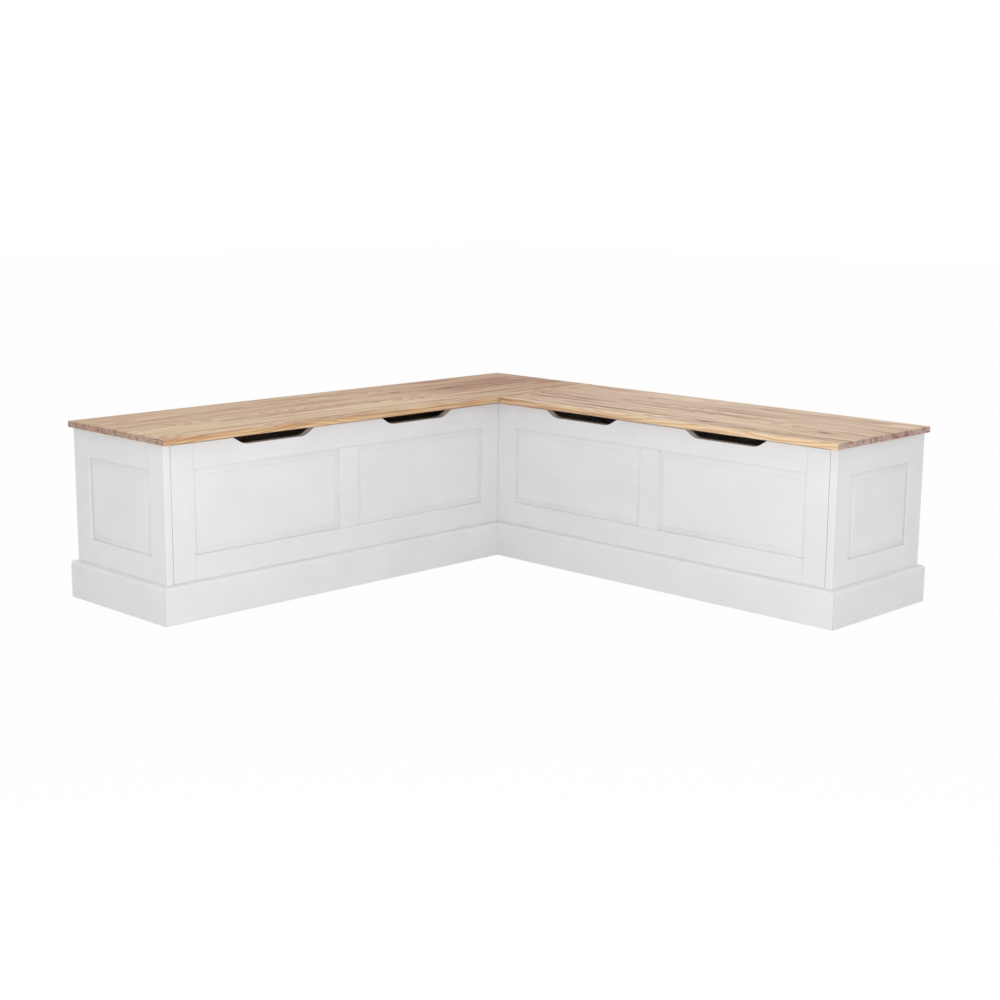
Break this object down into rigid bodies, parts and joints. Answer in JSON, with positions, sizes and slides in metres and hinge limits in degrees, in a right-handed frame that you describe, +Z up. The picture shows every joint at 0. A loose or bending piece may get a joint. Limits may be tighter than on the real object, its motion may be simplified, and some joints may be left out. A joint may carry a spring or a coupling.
{
  "type": "corner storage bench",
  "caption": "Corner storage bench: frame-and-panel chests that meet in an L, white painted, with hinged pine lids and hand slots under them.",
  "frame": {"origin": "on the floor, at the centre of the outline seen from above", "axes": "+Z up; the long chest runs along X at the +Y side with its front to -Y, the short chest runs along Y at the +X side with its front to -X"},
  "size_m": [1.5376, 1.5376, 0.45],
  "materials": {
    "white_painted_pine": "brushed satin paint over pine",
    "lacquered_pine": "satin clear lacquer over edge-glued pine",
    "raw_pine": "planed, unfinished pine",
    "zinc_plated_steel": "bright zinc plating",
    "soft_plastic": "matt soft plastic"
  },
  "bodies": {
    "carcass": {"long_back_bottom_rail": "white_painted_pine", "long_back_panel": "white_painted_pine", "long_back_top_rail": "white_painted_pine", "long_bumper_1": "soft_plastic", "long_bumper_2": "soft_plastic", "long_closing_board": "white_painted_pine", "long_end_bottom_rail": "white_painted_pine", "long_end_front_stile": "white_painted_pine", "long_end_panel": "white_painted_pine", "long_end_rear_stile": "white_painted_pine", "long_end_top_rail": "white_painted_pine", "long_far_end_board": "white_painted_pine", "long_floor_board": "raw_pine", "long_front_bottom_rail": "white_painted_pine", "long_front_inner_panel": "white_painted_pine", "long_front_inner_stile": "white_painted_pine", "long_front_muntin": "white_painted_pine", "long_front_outer_panel": "white_painted_pine", "long_front_outer_stile": "white_painted_pine", "long_front_top_rail": "white_painted_pine", "long_hinge_1_fixed_leaf": "zinc_plated_steel", "long_hinge_2_fixed_leaf": "zinc_plated_steel", "long_hinge_3_fixed_leaf": "zinc_plated_steel", "long_plinth_end": "white_painted_pine", "long_plinth_front": "white_painted_pine", "short_back_bottom_rail": "white_painted_pine", "short_back_panel": "white_painted_pine", "short_back_top_rail": "white_painted_pine", "short_bumper_1": "soft_plastic", "short_end_bottom_rail": "white_painted_pine", "short_end_front_stile": "white_painted_pine", "short_end_panel": "white_painted_pine", "short_end_rear_stile": "white_painted_pine", "short_end_top_rail": "white_painted_pine", "short_floor_board": "raw_pine", "short_front_bottom_rail": "white_painted_pine", "short_front_inner_panel": "white_painted_pine", "short_front_inner_stile": "white_painted_pine", "short_front_muntin": "white_painted_pine", "short_front_outer_panel": "white_painted_pine", "short_front_outer_stile": "white_painted_pine", "short_front_top_rail": "white_painted_pine", "short_hinge_1_fixed_leaf": "zinc_plated_steel", "short_hinge_2_fixed_leaf": "zinc_plated_steel", "short_inner_end_board": "white_painted_pine", "short_plinth_end": "white_painted_pine", "short_plinth_front": "white_painted_pine"},
    "long_lid": {"long_hinge_1_lid_leaf": "zinc_plated_steel", "long_hinge_2_lid_leaf": "zinc_plated_steel", "long_hinge_3_lid_leaf": "zinc_plated_steel", "long_lid": "lacquered_pine", "long_lid_cleat_1": "raw_pine", "long_lid_cleat_2": "raw_pine", "long_lid_cleat_3": "raw_pine"},
    "short_lid": {"short_hinge_1_lid_leaf": "zinc_plated_steel", "short_hinge_2_lid_leaf": "zinc_plated_steel", "short_lid": "lacquered_pine", "short_lid_cleat_1": "raw_pine", "short_lid_cleat_2": "raw_pine", "short_lid_cleat_3": "raw_pine"}
  },
  "joints": [
    {"name": "long_lid_hinge", "type": "hinge", "parent": "carcass", "child": "long_lid", "pos_m": [0, 0.7658, 0.4315], "axis": [-1, 0, 0], "range_deg": [0, 95]},
    {"name": "short_lid_hinge", "type": "hinge", "parent": "carcass", "child": "short_lid", "pos_m": [0.7658, -0.2, 0.4315], "axis": [0, 1, 0], "range_deg": [0, 95]}
  ]
}
